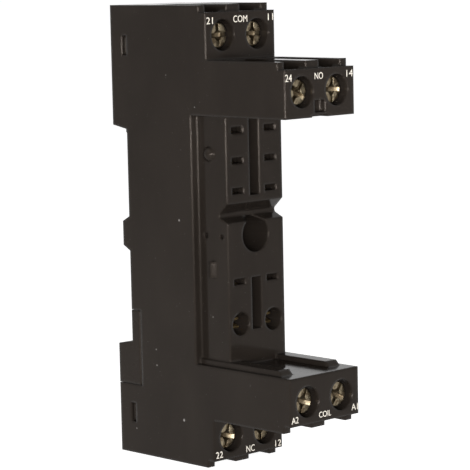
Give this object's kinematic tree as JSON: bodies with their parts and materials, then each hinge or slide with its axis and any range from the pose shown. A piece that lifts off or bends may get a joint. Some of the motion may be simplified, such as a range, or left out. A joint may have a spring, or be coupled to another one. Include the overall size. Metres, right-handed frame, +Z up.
{
  "type": "relay socket",
  "caption": "Slim black relay socket for a 35 mm rail, with stepped tiers of recessed screw terminals on two towers, a pin block between them and a sprung rail latch.",
  "frame": {"origin": "centre of the rail seat, on the plane the rail's flanges bear on", "axes": "+Z up along the long axis, -Y to the front where the relay plugs in, +X to the right seen from the front"},
  "size_m": [0.0158, 0.0412, 0.0765],
  "materials": {
    "housing_plastic": "moulded black thermoplastic with a fine matt skin",
    "cover_plastic": "moulded black thermoplastic",
    "latch_plastic": "moulded black acetal",
    "spring_steel": "drawn spring wire",
    "screw_nickel": "nickel plated, slightly yellowed",
    "cage_steel": "zinc plated pressed steel",
    "contact_brass": "rolled brass strip"
  },
  "bodies": {
    "socket": {"housing": "housing_plastic", "rear_cover": "cover_plastic", "contact_21": "contact_brass", "contact_11": "contact_brass", "contact_24": "contact_brass", "contact_14": "contact_brass", "contact_22": "contact_brass", "contact_12": "contact_brass", "contact_a2": "contact_brass", "contact_a1": "contact_brass", "latch_spring": "spring_steel"},
    "latch": {"rail_latch": "latch_plastic"},
    "screw_body_21": {"screw_21": "screw_nickel"},
    "cage_body_21": {"cage_21": "cage_steel"},
    "screw_body_11": {"screw_11": "screw_nickel"},
    "cage_body_11": {"cage_11": "cage_steel"},
    "screw_body_24": {"screw_24": "screw_nickel"},
    "cage_body_24": {"cage_24": "cage_steel"},
    "screw_body_14": {"screw_14": "screw_nickel"},
    "cage_body_14": {"cage_14": "cage_steel"},
    "screw_body_22": {"screw_22": "screw_nickel"},
    "cage_body_22": {"cage_22": "cage_steel"},
    "screw_body_12": {"screw_12": "screw_nickel"},
    "cage_body_12": {"cage_12": "cage_steel"},
    "screw_body_a2": {"screw_a2": "screw_nickel"},
    "cage_body_a2": {"cage_a2": "cage_steel"},
    "screw_body_a1": {"screw_a1": "screw_nickel"},
    "cage_body_a1": {"cage_a1": "cage_steel"}
  },
  "joints": [
    {"name": "latch_slide", "type": "slide", "parent": "socket", "child": "latch", "axis": [0, 0, -1], "range_m": [0, 0.0025], "stiffness_N_per_m": 300, "springref_m": -0.002, "deforming": ["latch_spring"]},
    {"name": "screw_turn_21", "type": "hinge", "parent": "socket", "child": "screw_body_21", "pos_m": [-0.00395, -0.0148, 0.0336], "axis": [0, 1, 0], "range_deg": [0, 1800]},
    {"name": "cage_lift_21", "type": "slide", "parent": "socket", "child": "cage_body_21", "axis": [0, -1, 0], "range_m": [0, 0.0025]},
    {"name": "screw_turn_11", "type": "hinge", "parent": "socket", "child": "screw_body_11", "pos_m": [0.00395, -0.0148, 0.0336], "axis": [0, 1, 0], "range_deg": [0, 1800]},
    {"name": "cage_lift_11", "type": "slide", "parent": "socket", "child": "cage_body_11", "axis": [0, -1, 0], "range_m": [0, 0.0025]},
    {"name": "screw_turn_24", "type": "hinge", "parent": "socket", "child": "screw_body_24", "pos_m": [-0.00395, -0.0327, 0.0248], "axis": [0, 1, 0], "range_deg": [0, 1800]},
    {"name": "cage_lift_24", "type": "slide", "parent": "socket", "child": "cage_body_24", "axis": [0, -1, 0], "range_m": [0, 0.0025]},
    {"name": "screw_turn_14", "type": "hinge", "parent": "socket", "child": "screw_body_14", "pos_m": [0.00395, -0.0327, 0.0248], "axis": [0, 1, 0], "range_deg": [0, 1800]},
    {"name": "cage_lift_14", "type": "slide", "parent": "socket", "child": "cage_body_14", "axis": [0, -1, 0], "range_m": [0, 0.0025]},
    {"name": "screw_turn_22", "type": "hinge", "parent": "socket", "child": "screw_body_22", "pos_m": [-0.00395, -0.0148, -0.033], "axis": [0, 1, 0], "range_deg": [0, 1800]},
    {"name": "cage_lift_22", "type": "slide", "parent": "socket", "child": "cage_body_22", "axis": [0, -1, 0], "range_m": [0, 0.0025]},
    {"name": "screw_turn_12", "type": "hinge", "parent": "socket", "child": "screw_body_12", "pos_m": [0.00395, -0.0148, -0.033], "axis": [0, 1, 0], "range_deg": [0, 1800]},
    {"name": "cage_lift_12", "type": "slide", "parent": "socket", "child": "cage_body_12", "axis": [0, -1, 0], "range_m": [0, 0.0025]},
    {"name": "screw_turn_a2", "type": "hinge", "parent": "socket", "child": "screw_body_a2", "pos_m": [-0.00395, -0.0327, -0.0249], "axis": [0, 1, 0], "range_deg": [0, 1800]},
    {"name": "cage_lift_a2", "type": "slide", "parent": "socket", "child": "cage_body_a2", "axis": [0, -1, 0], "range_m": [0, 0.0025]},
    {"name": "screw_turn_a1", "type": "hinge", "parent": "socket", "child": "screw_body_a1", "pos_m": [0.00395, -0.0327, -0.0249], "axis": [0, 1, 0], "range_deg": [0, 1800]},
    {"name": "cage_lift_a1", "type": "slide", "parent": "socket", "child": "cage_body_a1", "axis": [0, -1, 0], "range_m": [0, 0.0025]}
  ],
  "couplings": [
    {"joint": "screw_turn_21", "follows": "cage_lift_21", "rad_per_m": 12566},
    {"joint": "screw_turn_11", "follows": "cage_lift_11", "rad_per_m": 12566},
    {"joint": "screw_turn_24", "follows": "cage_lift_24", "rad_per_m": 12566},
    {"joint": "screw_turn_14", "follows": "cage_lift_14", "rad_per_m": 12566},
    {"joint": "screw_turn_22", "follows": "cage_lift_22", "rad_per_m": 12566},
    {"joint": "screw_turn_12", "follows": "cage_lift_12", "rad_per_m": 12566},
    {"joint": "screw_turn_a2", "follows": "cage_lift_a2", "rad_per_m": 12566},
    {"joint": "screw_turn_a1", "follows": "cage_lift_a1", "rad_per_m": 12566}
  ]
}
